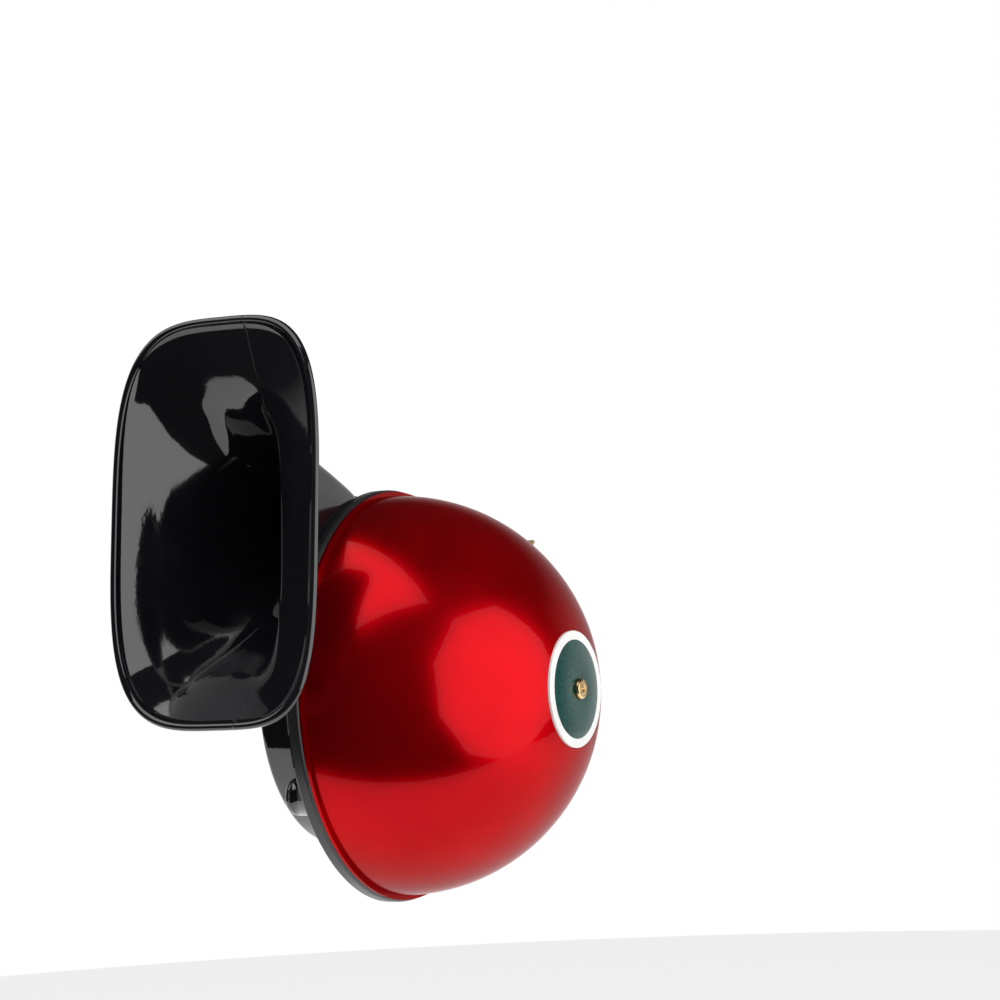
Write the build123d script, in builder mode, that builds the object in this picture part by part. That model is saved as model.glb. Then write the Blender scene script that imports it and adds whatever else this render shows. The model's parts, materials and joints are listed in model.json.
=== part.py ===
from build123d import *
from math import cos, radians, sin
import os

# A snail trumpet horn held on its bracket plate: +Z up, the mouth faces -Y, the domed sound
# unit points to +X, the spiral to -X and the bracket runs to +Y. The origin is the middle of the
# two bracket holes, on the plate's spiral-side face. Sizes are in millimetres. "Height" is measured
# along -X from the rim plane, where the dome meets the can; radii are from the sound unit's axis.

# --- sound unit: rim stack, from the rim plane towards the spiral -------------------------------
CAN_SHEET = 1.2
GASKET_T = 0.3
DIAPHRAGM_T = 0.4
FLANGE_T = 2.2
CAN_R = 43.0
CAN_TO_BOLTS = 5.4
BOLT_CIRCLE_R = CAN_R + CAN_TO_BOLTS
BOLTS_TO_DOME = 5.6
DOME_R = BOLT_CIRCLE_R + BOLTS_TO_DOME
DOME_LIP_OUT = 1.2
RIM_OUT = 1.7
CAN_RIM_R = DOME_R + RIM_OUT
RIM_SKIRT_T = 1.1
RIM_SKIRT_H = 3.2
RIM_GAP = 0.3
UNIT_R = CAN_RIM_R - RIM_SKIRT_T - RIM_GAP
DIAPHRAGM_H = CAN_SHEET + GASKET_T
FLANGE_H = DIAPHRAGM_H + DIAPHRAGM_T + GASKET_T
FLANGE_TOP = FLANGE_H + FLANGE_T

# --- bracket -----------------------------------------------------------------------------------
SPACER_T = 2.0
SPACER_R = 4.8
PLATE_T = 2.0
WASHER_T = 0.8
WASHER_R = 5.0
HOLE_PITCH = 26.0
HOLE_R = 4.2
HOLES_TO_BOLTS = 23.1
HOLES_TO_AXIS = BOLT_CIRCLE_R + HOLES_TO_BOLTS
PLATE_END = 8.0
PLATE_CORNER_R = 6.0
PLATE_EAR_R = 6.5
PLATE_END_HALF = 20.5
PLATE_GAP = 0.2
PLATE_INNER_R = CAN_R + PLATE_GAP
SPIRAL_GAP = 0.5

RIM_X = FLANGE_TOP + SPACER_T + PLATE_T
AXIS_Y = -HOLES_TO_AXIS

# --- screws (M5 through the rim) ---------------------------------------------------------------
BOLT_R = 2.45
BOLT_HOLE_R = 2.65
BOLT_HEAD_AF = 8.0
BOLT_HEAD_H = 3.5
BOLT_POINT = 0.5
NUT_H = 4.0
LONG_END = 14.7
SHORT_END = 11.6
BRACKET_ANGLES = (30, 330)
BOSS_ANGLES = (210, 270)
MOUTH_ANGLE = 150
POCKET_ANGLE = 90
BOSS_R = 5.0
BOSS_TOP = 11.3
MOUTH_BOSS_TOP = 6.9
INSERT_R = 3.4
INSERT_L = 4.4

# --- trumpet -----------------------------------------------------------------------------------
WALL = 2.0
SEAM_H = 7.0
SEAM_RIM = 1.0
SEAM_RIM_HALF = 0.9
WEB_T = 1.6
PEDESTAL_TO_BOSSES = 4.0
PEDESTAL_R = BOLT_CIRCLE_R - BOSS_R - PEDESTAL_TO_BOSSES
PEDESTAL_STEP = 0.9
CHAMBER_GAP = 0.4
CHAMBER_R = CAN_R + CHAMBER_GAP
CHAMBER_H = 0.6
THROAT_R = 6.4
MOUTH_Y = -68.0
BED = FLANGE_H + 0.3

FUSE = 0.2
RIM_ROOM_GAP = 0.5
BOSS_ROUND = 2.4
POCKET_HALF = 5.4
POCKET_L = 9.6
POCKET_OUT = BOLT_CIRCLE_R + POCKET_L
POCKET_WALL = 1.8
POCKET_TOP = 24.0
RECESS_PLACES = [(-41.5, -14.5), (-46.5, -14.5)]
RECESS_W = 3.4
RECESS_L = 2.6
RECESS_DEPTH = 0.7

# --- can ---------------------------------------------------------------------------------------
CAN_STEP_X = 13.0
CAN_BACK_R = 34.2
CAN_BACK_X = 27.0

CAN_WALL_IN = CAN_R - CAN_SHEET
CAN_STEP_IN = CAN_STEP_X - CAN_SHEET
CAN_BACK_IN = CAN_BACK_X - CAN_SHEET
CAN_BEND_R = 1.0
RIM_TAB_ANGLE = -55
RIM_TAB_L = 7.0
RIM_TAB_OUT = 1.4

# --- terminal block ----------------------------------------------------------------------------
BLOCK_ANGLE = 38
BLOCK_X = 4.2
BLOCK_H = 7.0
BLOCK_W = 13.0
BLOCK_END_R = 62.5
BLOCK_CORNER_R = 4.5
BLOCK_LIP_W = 17.0
BLOCK_LIP_T = 1.8
BLADE_T = 0.8
BLADE_W = 6.3
BLADE_MID_R = 58.4
BLADE_APART = 6.8
BLADE_FROM_X = 7.0
BLADE_TO_X = 19.4

# --- magnet and contacts -----------------------------------------------------------------------
ARMATURE_R = 12.0
ARMATURE_T = 4.0
STEM_R = 2.95
STEM_END_H = 6.3
STEM_WASHER_R = 5.8
STEM_NUT_H = 3.0
CORE_R = 8.0
CORE_GAP = 0.8
CORE_STUD_R = 3.0
CORE_STUD_L = 6.0
BOBBIN_X = 12.4
BOBBIN_R = 24.0
BOBBIN_T = 1.2
STACK_R = 37.4
STACK_L = 7.2
STACK_W = 12.0
INSULATOR_T = 2.5
SPACER_INSULATOR_T = 2.0
CONTACT_PLATE_T = 0.8
LEAF_T = 0.5
ARM_W = 7.0
POINT_R = 2.0
POINT_AT = 23.0
LIFT_AT = 10.6
LIFT_R = 1.4
RIVET_R = 1.45
RIVET_HEAD_R = 2.5
RIVET_HEAD_T = 0.8
RIVET_APART = 7.0
RIVET_PLACES = [(STACK_R, RIVET_APART / 2), (STACK_R, -RIVET_APART / 2)]
ADJUSTER_PLACE = (36.6, 11.2)
ADJUSTER_EAR_L = 2.2
ADJUSTER_EAR_W = 9.0
ADJUSTER_R = 1.95
ADJUSTER_END_X = 19.5
ADJUSTER_NUT_AF = 6.0
ADJUSTER_NUT_H = 2.4

# --- dome --------------------------------------------------------------------------------------
DOME_SHEET = 0.8
DOME_LIP_R = DOME_R + DOME_LIP_OUT
BADGE_R = 15.5
BADGE_T = 0.8
BADGE_SEAT_R = BADGE_R + 0.3
BADGE_FIELD_R = 13.1
BADGE_FIELD_T = 0.8
DOME_FLAT_X = (DOME_R**2 - BADGE_SEAT_R**2) ** 0.5
DOME_SCREW_R = 2.45
DOME_HOLE_R = 2.7
DOME_SCREW_HEAD_R = 3.75
DOME_SCREW_HEAD_T = 2.1
DOME_SCREW_L = 11.0
DRIVE_L = 4.4
DRIVE_W = 0.9
DRIVE_DEPTH = 1.3
SLOT_W = 0.8
SLOT_DEPTH = 1.0
NOTCH_GAP = 0.3
STANDOFF_AF = 10.0
STANDOFF_END = DOME_FLAT_X - DOME_SHEET
BORE_GAP = 0.05

AXIS = Axis((RIM_X, AXIS_Y, 0), (1, 0, 0))
DISC = Plane(origin=(RIM_X, AXIS_Y, 0), x_dir=(0, 1, 0), z_dir=(1, 0, 0))
PROFILE = Plane(origin=(RIM_X, AXIS_Y, 0), x_dir=(1, 0, 0), z_dir=(0, -1, 0))

os.makedirs("parts", exist_ok=True)


def station(y, z, heading, half, crest, bed, spring, shape):
    """One cross-section of the trumpet: where its middle lies in the disc plane, which way the air
    runs there, its half width, its top and bottom heights, the height of its widest line, and the
    roundness of its four corners (2 is an ellipse, more is squarer)."""
    return (y, z, heading, half, crest, bed, spring, shape)


def ring(angle, inner, outer, crest, bed=BED):
    """A station of the spiral, given by its inner and outer radius at an angle."""
    middle = (inner + outer) / 2
    half = (outer - inner) / 2
    a = radians(angle)
    spring = crest - min(half * 1.1, (crest - bed) * 0.55)
    return station(middle * cos(a), middle * sin(a), angle + 90, half, crest, bed, spring, RING_SHAPE)


def bell(y, low, high, crest, bed, shape):
    """A station of the straight bell, given by its lower and upper edge."""
    spring = bed + (crest - bed) * 0.5
    return station(y, (low + high) / 2, 180, (high - low) / 2, crest, bed, spring, shape)


# corners in the order: outer top, inner top, inner bottom, outer bottom
RING_SHAPE = (2.1, 2.1, 3.8, 3.8)
NECK_SHAPE = (2.3, 2.4, 3.8, 3.8)
OUTLINE_POINTS = 24

CLOSED_END = [
    station(-2.5, 7.9, -90, 1.3, 13.4, BED, 9.0, RING_SHAPE),
    station(-2.5, 7.1, -90, 2.9, 15.4, BED, 10.4, RING_SHAPE),
    station(-2.5, 5.4, -90, 4.4, 16.8, BED, 11.6, RING_SHAPE),
]
START = [
    station(-2.5, 3.0, -90, 5.0, 17.5, BED, 12.2, RING_SHAPE),
    station(-3.9, -4.0, -94, 4.6, 19.4, BED, 14.3, RING_SHAPE),
    station(-4.8, -10.8, -84, 4.5, 21.4, BED, 16.3, RING_SHAPE),
    station(-4.2, -16.2, -48, 5.2, 22.8, BED, 17.0, RING_SHAPE),
    ring(276, 14.4, 26.0, 23.6),
    ring(315, 14.4, 26.3, 24.0),
    ring(360, 14.8, 26.8, 24.2),
    ring(405, 15.8, 27.4, 24.3),
    ring(450, 16.9, 28.0, 24.3),
    ring(495, 17.6, 28.9, 24.2),
    ring(540, 18.2, 30.2, 24.0),
]
TURN = [
    ring(540, 18.2, 30.2, 24.0),
    ring(562, 19.2, 31.6, 23.7),
    ring(585, 21.2, 33.6, 23.2),
    ring(607, 24.2, 36.2, 22.6),
    ring(630, 27.2, 38.5, 21.8),
    ring(652, 28.0, 39.6, 20.9),
    ring(675, 28.3, 40.3, 20.0),
    ring(697, 28.6, 41.0, 19.3),
    ring(720, 28.9, 41.6, 18.9),
    ring(742, 29.3, 42.2, 18.8),
    ring(765, 29.7, 44.8, 19.2),
    ring(787, 30.0, 49.0, 20.1),
    ring(810, 30.2, 53.0, 21.5),
]
BELL = [
    bell(0.0, 30.2, 53.0, 21.5, BED, NECK_SHAPE),
    bell(-12.0, 28.8, 54.3, 22.8, BED, NECK_SHAPE),
    bell(-24.0, 25.6, 57.2, 25.4, BED, (2.4, 2.6, 4.0, 4.0)),
    bell(-35.0, 19.0, 61.4, 29.6, BED, (2.5, 2.9, 4.4, 3.8)),
    bell(-44.0, 12.9, 66.8, 34.0, BED, (2.6, 3.2, 4.4, 3.7)),
    bell(-51.0, 7.3, 72.6, 37.8, BED, (2.6, 3.4, 4.0, 3.7)),
    bell(-56.6, 2.8, 78.6, 41.0, BED, (2.6, 3.6, 3.2, 3.8)),
    bell(-59.6, -0.6, 82.6, 42.9, 0.2, (2.6, 3.7, 3.1, 3.8)),
    bell(-62.6, -4.2, 87.2, 44.9, -4.0, (2.6, 3.8, 3.0, 3.9)),
    bell(-65.6, -8.0, 92.6, 47.0, -9.4, (2.6, 3.9, 3.0, 3.9)),
    bell(MOUTH_Y, -11.8, 98.2, 48.7, -15.0, (2.6, 4.0, 3.0, 3.9)),
]


def duct(stations, inset, beyond=0.0):
    """Loft through the stations, each outline drawn in by an inset; the last may be run on."""
    with BuildPart() as run:
        for y, z, heading, half, crest, bed, spring, shape in stations:
            a = radians(heading)
            plane = Plane(
                origin=(RIM_X, AXIS_Y + y, z), x_dir=(0, sin(a), -cos(a)), z_dir=(0, cos(a), sin(a))
            )
            if beyond and y == stations[-1][0]:
                plane = plane.offset(beyond)
            points = []
            for step in range(OUTLINE_POINTS):
                t = radians(step * 360 / OUTLINE_POINTS)
                corner = shape[step * 4 // OUTLINE_POINTS]
                c = abs(cos(t)) ** (2 / corner)
                s = abs(sin(t)) ** (2 / corner)
                px = (half - inset) * c * (1 if cos(t) > 0 else -1)
                rise = crest - inset - spring if step < OUTLINE_POINTS / 2 else bed + inset - spring
                points.append((px, spring + rise * s))
            with BuildSketch(plane):
                with BuildLine():
                    Spline(*points, periodic=True)
                make_face()
        loft()
    return run.part


def slab(low, high, size=400.0):
    """A wide slab between two heights, for cutting the trumpet at its seam."""
    with BuildPart() as block:
        with BuildSketch(DISC.offset(-high)):
            Rectangle(size, size)
        extrude(amount=high - low)
    return block.part


def turned(points, corner_r=0.0, rounded=()):
    """A turned piece from its profile of (distance towards the dome, radius) corners."""
    with BuildPart() as piece:
        with BuildSketch(PROFILE) as profile:
            with BuildLine():
                Polyline(*points, close=True)
            make_face()
            if rounded:
                corners = [
                    profile.vertices().sort_by_distance((px, py))[0]
                    for px, py in rounded
                ]
                fillet(corners, corner_r)
        revolve(axis=AXIS)
    return piece.part


def tube(inner, outer, low, high):
    """A ring or, with no inner radius, a disc between two heights."""
    with BuildPart() as piece:
        with BuildSketch(DISC.offset(-high)):
            Circle(outer)
            if inner:
                Circle(inner, mode=Mode.SUBTRACT)
        extrude(amount=high - low)
    return piece.part


def on_circle(radius, angles):
    """Places round the axis, each turned to face outwards."""
    return [
        Location((radius * cos(radians(a)), radius * sin(radians(a)), 0), (0, 0, a)) for a in angles
    ]


def pins(radius, places, low, high):
    """Round pins between two heights, at places in the disc plane."""
    with BuildPart() as piece:
        with BuildSketch(DISC.offset(-high)):
            with Locations(*places):
                Circle(radius)
        extrude(amount=high - low)
    return piece.part


ALL_ANGLES = BRACKET_ANGLES + BOSS_ANGLES + (MOUTH_ANGLE, POCKET_ANGLE)
BOLT_PLACES = on_circle(BOLT_CIRCLE_R, ALL_ANGLES)
BRACKET_PLACES = on_circle(BOLT_CIRCLE_R, BRACKET_ANGLES)
BOSS_PLACES = on_circle(BOLT_CIRCLE_R, BOSS_ANGLES)
MOUTH_PLACES = on_circle(BOLT_CIRCLE_R, (MOUTH_ANGLE,))
POCKET_PLACES = on_circle(BOLT_CIRCLE_R, (POCKET_ANGLE,))


def pocket(low, high, grow=0.0):
    """The pocket of the top screw's nut, open to the outside; grown, it is the pocket's wall."""
    with BuildPart() as piece:
        with BuildSketch(DISC.offset(-high)):
            with Locations((0, BOLT_CIRCLE_R)):
                Circle(POCKET_HALF + grow)
            with Locations((0, (BOLT_CIRCLE_R + POCKET_OUT) / 2)):
                Rectangle(2 * (POCKET_HALF + grow), POCKET_OUT - BOLT_CIRCLE_R)
        extrude(amount=high - low)
    return piece.part


def hexes(across, places, low, high, bore=0.0):
    """Hexagonal heads or nuts between two heights, a flat facing outwards."""
    with BuildPart() as piece:
        with BuildSketch(DISC.offset(-high)):
            with Locations(*places):
                RegularPolygon(across / 2, 6, major_radius=False, rotation=30)
                if bore:
                    Circle(bore, mode=Mode.SUBTRACT)
        extrude(amount=high - low)
    return piece.part


def bolts(places, end):
    """Hexagon-headed rim screws, their heads under the dome and their ends at a height."""
    with BuildPart() as piece:
        add(hexes(BOLT_HEAD_AF, places, -BOLT_HEAD_H, 0))
        add(pins(BOLT_R, places, -FUSE, end))
        chamfer(piece.faces().group_by(Axis.X)[0].edges(), BOLT_POINT)
    return piece.part


def save(piece, name):
    """Label a finished piece and write it as its own file."""
    piece.label = name
    export_step(piece, "parts/" + name + ".step")


# --- trumpet: one skin and one air column, parted at the seam into two halves ------------------
SKIN = duct(CLOSED_END + START, 0.0) + duct(TURN, 0.0) + duct(BELL, 0.0)
AIR = duct(START, WALL) + duct(TURN, WALL) + duct(BELL, WALL, beyond=0.5)
AIR -= pocket(0, POCKET_TOP + POCKET_WALL, POCKET_WALL)
SEAM_BEAD = duct(BELL, -SEAM_RIM) & slab(SEAM_H - SEAM_RIM_HALF, SEAM_H + SEAM_RIM_HALF)
FAR = DOME_R * 2

# the can and its skirt, and everything on their side, that the base half has to clear
RIM_ROOM = turned(
    [
        (-FLANGE_H, 0),
        (-FLANGE_H, UNIT_R),
        (-RIM_SKIRT_H - RIM_GAP, UNIT_R),
        (-RIM_SKIRT_H - RIM_GAP, CAN_RIM_R + RIM_ROOM_GAP),
        (DOME_R, CAN_RIM_R + RIM_ROOM_GAP),
        (DOME_R, 0),
    ]
)

with BuildPart() as trumpet_cover:
    add(SKIN)
    add(tube(0, PEDESTAL_R - 2 * PEDESTAL_STEP, SEAM_H - 1, SEAM_H + WEB_T))
    add(SEAM_BEAD)
    add(slab(SEAM_H, FAR), mode=Mode.INTERSECT)
    add(AIR, mode=Mode.SUBTRACT)
    add(pocket(FLANGE_TOP, POCKET_TOP), mode=Mode.SUBTRACT)
save(trumpet_cover.part, "trumpet_cover")

with BuildPart() as trumpet_base:
    add(SKIN)
    add(tube(0, UNIT_R, FLANGE_H, FLANGE_TOP))
    add(tube(0, PEDESTAL_R, FLANGE_TOP - FUSE, SEAM_H - PEDESTAL_STEP))
    add(tube(0, PEDESTAL_R - PEDESTAL_STEP, FLANGE_TOP, SEAM_H + FUSE))
    add(SEAM_BEAD)
    add(slab(-FAR, SEAM_H), mode=Mode.INTERSECT)
    add(AIR, mode=Mode.SUBTRACT)
    add(pocket(FLANGE_TOP, POCKET_TOP), mode=Mode.SUBTRACT)
    add(tube(0, THROAT_R, 0, SEAM_H + 1), mode=Mode.SUBTRACT)
    add(tube(0, CHAMBER_R, 0, FLANGE_H + CHAMBER_H), mode=Mode.SUBTRACT)
    add(RIM_ROOM, mode=Mode.SUBTRACT)
    # bosses round the screws, the two in the open with rounded tops
    with BuildPart(mode=Mode.PRIVATE) as bosses:
        add(pins(BOSS_R, BOSS_PLACES, FLANGE_TOP - FUSE, BOSS_TOP))
        fillet(bosses.faces().group_by(Axis.X)[0].edges(), BOSS_ROUND)
    add(bosses.part)
    add(pins(BOSS_R, MOUTH_PLACES, FLANGE_TOP - FUSE, MOUTH_BOSS_TOP))
    add(pins(BOLT_HOLE_R, BOLT_PLACES, 0, BOSS_TOP + 1), mode=Mode.SUBTRACT)
    add(pins(INSERT_R, BOSS_PLACES, BOSS_TOP - INSERT_L, BOSS_TOP + 1), mode=Mode.SUBTRACT)
    add(pins(INSERT_R, MOUTH_PLACES, MOUTH_BOSS_TOP - INSERT_L, BOSS_TOP + 1), mode=Mode.SUBTRACT)
    # two moulded recesses in the flange, below the mouth
    with BuildSketch(DISC.offset(-FLANGE_TOP)):
        with Locations(*RECESS_PLACES):
            Rectangle(RECESS_W, RECESS_L)
    extrude(amount=RECESS_DEPTH, mode=Mode.SUBTRACT)
save(trumpet_base.part, "trumpet_base")

# --- rim stack ---------------------------------------------------------------------------------
with BuildPart() as rim_gaskets:
    add(tube(CHAMBER_R, UNIT_R, CAN_SHEET, DIAPHRAGM_H))
    add(tube(CHAMBER_R, UNIT_R, DIAPHRAGM_H + DIAPHRAGM_T, FLANGE_H))
    add(pins(BOLT_HOLE_R, BOLT_PLACES, 0, FLANGE_TOP), mode=Mode.SUBTRACT)
save(rim_gaskets.part, "rim_gaskets")

with BuildPart() as diaphragm:
    add(tube(STEM_R + BORE_GAP, UNIT_R, DIAPHRAGM_H, DIAPHRAGM_H + DIAPHRAGM_T))
    add(pins(BOLT_HOLE_R, BOLT_PLACES, 0, FLANGE_TOP), mode=Mode.SUBTRACT)
save(diaphragm.part, "diaphragm")

with BuildPart() as can:
    add(
        turned(
            [
                (-RIM_SKIRT_H, CAN_RIM_R - RIM_SKIRT_T),
                (-RIM_SKIRT_H, CAN_RIM_R),
                (0, CAN_RIM_R),
                (0, CAN_R),
                (CAN_STEP_X, CAN_R),
                (CAN_STEP_X, CAN_BACK_R),
                (CAN_BACK_X, CAN_BACK_R),
                (CAN_BACK_X, CORE_STUD_R + BORE_GAP),
                (CAN_BACK_IN, CORE_STUD_R + BORE_GAP),
                (CAN_BACK_IN, CAN_BACK_R - CAN_SHEET),
                (CAN_STEP_IN, CAN_BACK_R - CAN_SHEET),
                (CAN_STEP_IN, CAN_WALL_IN),
                (-CAN_SHEET, CAN_WALL_IN),
                (-CAN_SHEET, CAN_RIM_R - RIM_SKIRT_T),
            ],
            CAN_BEND_R,
            [
                (0, CAN_RIM_R),
                (0, CAN_R),
                (CAN_STEP_X, CAN_R),
                (CAN_STEP_X, CAN_BACK_R),
                (CAN_BACK_X, CAN_BACK_R),
                (CAN_STEP_IN, CAN_BACK_R - CAN_SHEET),
            ],
        )
    )
    # the lug on the rim's edge
    with BuildSketch(DISC.offset(-RIM_SKIRT_H)):
        with Locations(*on_circle(CAN_RIM_R, (RIM_TAB_ANGLE,))):
            Rectangle(RIM_TAB_OUT * 2, RIM_TAB_L)
        Circle(CAN_RIM_R - RIM_SKIRT_T / 2, mode=Mode.SUBTRACT)
    extrude(amount=RIM_SKIRT_H)
    add(pins(BOLT_HOLE_R, BOLT_PLACES, -1, FLANGE_TOP), mode=Mode.SUBTRACT)
    # the window that the terminal block goes through
    with BuildSketch(DISC.offset(BLOCK_X)):
        with Locations(*on_circle(CAN_R, (BLOCK_ANGLE,))):
            Rectangle(CAN_SHEET * 4, BLOCK_W)
    extrude(amount=BLOCK_H, mode=Mode.SUBTRACT)
    add(pins(RIVET_R + BORE_GAP, RIVET_PLACES, -CAN_BACK_X, 0), mode=Mode.SUBTRACT)
    add(pins(ADJUSTER_R + BORE_GAP, [ADJUSTER_PLACE], -CAN_BACK_X, 0), mode=Mode.SUBTRACT)
save(can.part, "can")

# --- screws through the rim --------------------------------------------------------------------
LONG_PLACES = BRACKET_PLACES + MOUTH_PLACES
SHORT_PLACES = BOSS_PLACES + POCKET_PLACES
save(bolts(LONG_PLACES, LONG_END), "rim_screws_long")
save(bolts(SHORT_PLACES, SHORT_END), "rim_screws_short")

with BuildPart() as thread_inserts:
    add(pins(INSERT_R, BOSS_PLACES, BOSS_TOP - INSERT_L, BOSS_TOP))
    add(pins(INSERT_R, MOUTH_PLACES, MOUTH_BOSS_TOP - INSERT_L, MOUTH_BOSS_TOP))
    add(pins(BOLT_R + BORE_GAP, BOSS_PLACES + MOUTH_PLACES, 0, BOSS_TOP), mode=Mode.SUBTRACT)
save(thread_inserts.part, "thread_inserts")

# --- bracket -----------------------------------------------------------------------------------
PLATE_H = FLANGE_TOP + SPACER_T
PLATE_TOP = PLATE_H + PLATE_T
NUT_FROM = PLATE_TOP + WASHER_T

with BuildPart() as bracket_spacers:
    add(pins(SPACER_R, BRACKET_PLACES, FLANGE_TOP, PLATE_H))
    add(pins(BOLT_HOLE_R, BRACKET_PLACES, FLANGE_TOP, PLATE_H), mode=Mode.SUBTRACT)
save(bracket_spacers.part, "bracket_spacers")

with BuildPart() as bracket_plate:
    with BuildSketch(DISC.offset(-PLATE_TOP)):
        far = HOLES_TO_AXIS + PLATE_END - PLATE_CORNER_R
        side = PLATE_END_HALF - PLATE_CORNER_R
        with Locations((far, side), (far, -side)):
            Circle(PLATE_CORNER_R)
        with Locations(*BRACKET_PLACES):
            Circle(PLATE_EAR_R)
        make_hull()
        Circle(PLATE_INNER_R, mode=Mode.SUBTRACT)
        with Locations((HOLES_TO_AXIS, HOLE_PITCH / 2), (HOLES_TO_AXIS, -HOLE_PITCH / 2)):
            Circle(HOLE_R, mode=Mode.SUBTRACT)
        with Locations(*BRACKET_PLACES):
            Circle(BOLT_HOLE_R, mode=Mode.SUBTRACT)
    extrude(amount=PLATE_T)
    add(duct(TURN, -SPIRAL_GAP), mode=Mode.SUBTRACT)
save(bracket_plate.part, "bracket_plate")

with BuildPart() as bracket_washers:
    add(pins(WASHER_R, BRACKET_PLACES, PLATE_TOP, NUT_FROM))
    add(pins(BOLT_HOLE_R, BRACKET_PLACES, PLATE_TOP, NUT_FROM), mode=Mode.SUBTRACT)
save(bracket_washers.part, "bracket_washers")

with BuildPart() as rim_nuts:
    add(hexes(BOLT_HEAD_AF, BRACKET_PLACES, NUT_FROM, NUT_FROM + NUT_H, BOLT_R + BORE_GAP))
    add(hexes(BOLT_HEAD_AF, POCKET_PLACES, FLANGE_TOP, FLANGE_TOP + NUT_H, BOLT_R + BORE_GAP))
save(rim_nuts.part, "rim_nuts")

# --- armature and magnet -----------------------------------------------------------------------
with BuildPart() as armature:
    add(tube(0, ARMATURE_R, DIAPHRAGM_H - ARMATURE_T, DIAPHRAGM_H))
    add(tube(0, STEM_R, DIAPHRAGM_H - FUSE, STEM_END_H))
save(armature.part, "armature")

STEM_NUT_FROM = DIAPHRAGM_H + DIAPHRAGM_T + WASHER_T
with BuildPart() as armature_washer:
    add(tube(STEM_R + BORE_GAP, STEM_WASHER_R, DIAPHRAGM_H + DIAPHRAGM_T, STEM_NUT_FROM))
save(armature_washer.part, "armature_washer")
save(
    hexes(BOLT_HEAD_AF, [(0, 0)], STEM_NUT_FROM, STEM_NUT_FROM + STEM_NUT_H, STEM_R + BORE_GAP),
    "armature_nut",
)

CORE_FACE = ARMATURE_T - DIAPHRAGM_H + CORE_GAP
with BuildPart() as pole_core:
    add(tube(0, CORE_R, -CAN_BACK_IN, -CORE_FACE))
    add(tube(0, CORE_STUD_R, -CAN_BACK_X - CORE_STUD_L, -CAN_BACK_IN + FUSE))
save(pole_core.part, "pole_core")

HUB_R = CORE_R + BORE_GAP
save(
    turned(
        [
            (BOBBIN_X, HUB_R),
            (BOBBIN_X, BOBBIN_R),
            (BOBBIN_X + BOBBIN_T, BOBBIN_R),
            (BOBBIN_X + BOBBIN_T, HUB_R + BOBBIN_T),
            (CAN_BACK_IN - BOBBIN_T, HUB_R + BOBBIN_T),
            (CAN_BACK_IN - BOBBIN_T, BOBBIN_R),
            (CAN_BACK_IN, BOBBIN_R),
            (CAN_BACK_IN, HUB_R),
        ]
    ),
    "coil_bobbin",
)
save(
    tube(HUB_R + BOBBIN_T, BOBBIN_R - 1, BOBBIN_T - CAN_BACK_IN, -BOBBIN_X - BOBBIN_T),
    "coil_winding",
)

# --- contact breaker: a stack riveted inside the can's step -------------------------------------
PLATE_FACE_X = CAN_STEP_IN - INSULATOR_T
PLATE_UNDER_X = PLATE_FACE_X - CONTACT_PLATE_T
LEAF_FACE_X = PLATE_UNDER_X - SPACER_INSULATOR_T
LEAF_UNDER_X = LEAF_FACE_X - LEAF_T
STACK_IN = STACK_R - STACK_L / 2
STACK_OUT = STACK_R + STACK_L / 2
POINT_T = SPACER_INSULATOR_T / 2


def bar(start, end, width, low_x, high_x, aside=0.0):
    """A flat bar along the contact arm's line, between two distances towards the dome."""
    with BuildPart() as piece:
        with BuildSketch(DISC.offset(low_x)):
            with Locations(((start + end) / 2, aside)):
                Rectangle(end - start, width)
        extrude(amount=high_x - low_x)
    return piece.part


RIVET_HOLES = pins(RIVET_R + BORE_GAP, RIVET_PLACES, -CAN_BACK_X, 0)

with BuildPart() as contact_insulators:
    add(bar(STACK_IN, STACK_OUT, STACK_W, PLATE_FACE_X, CAN_STEP_IN))
    add(bar(STACK_IN, STACK_OUT, STACK_W, LEAF_FACE_X, PLATE_UNDER_X))
    add(RIVET_HOLES, mode=Mode.SUBTRACT)
save(contact_insulators.part, "contact_insulators")

with BuildPart() as contact_plate:
    add(bar(POINT_AT - POINT_R - 1, STACK_OUT, ARM_W, PLATE_UNDER_X, PLATE_FACE_X))
    add(bar(STACK_IN, STACK_OUT, STACK_W, PLATE_UNDER_X, PLATE_FACE_X))
    ear_end = ADJUSTER_PLACE[0] + ADJUSTER_EAR_L
    add(bar(STACK_IN, ear_end, ADJUSTER_EAR_W, PLATE_UNDER_X, PLATE_FACE_X, ADJUSTER_EAR_W))
    add(RIVET_HOLES, mode=Mode.SUBTRACT)
save(contact_plate.part, "contact_plate")

with BuildPart() as contact_leaf:
    add(bar(LIFT_AT - LIFT_R, STACK_OUT, ARM_W, LEAF_UNDER_X, LEAF_FACE_X))
    add(bar(STACK_IN, STACK_OUT, STACK_W, LEAF_UNDER_X, LEAF_FACE_X))
    add(RIVET_HOLES, mode=Mode.SUBTRACT)
save(contact_leaf.part, "contact_leaf")

with BuildPart() as contact_points:
    add(pins(POINT_R, [(POINT_AT, 0)], -LEAF_FACE_X - POINT_T, -LEAF_FACE_X))
    add(pins(POINT_R, [(POINT_AT, 0)], -PLATE_UNDER_X, -PLATE_UNDER_X + POINT_T))
save(contact_points.part, "contact_points")

ARMATURE_FACE_X = ARMATURE_T - DIAPHRAGM_H
save(pins(LIFT_R, [(LIFT_AT, 0)], -LEAF_UNDER_X, -ARMATURE_FACE_X), "lift_button")

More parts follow.
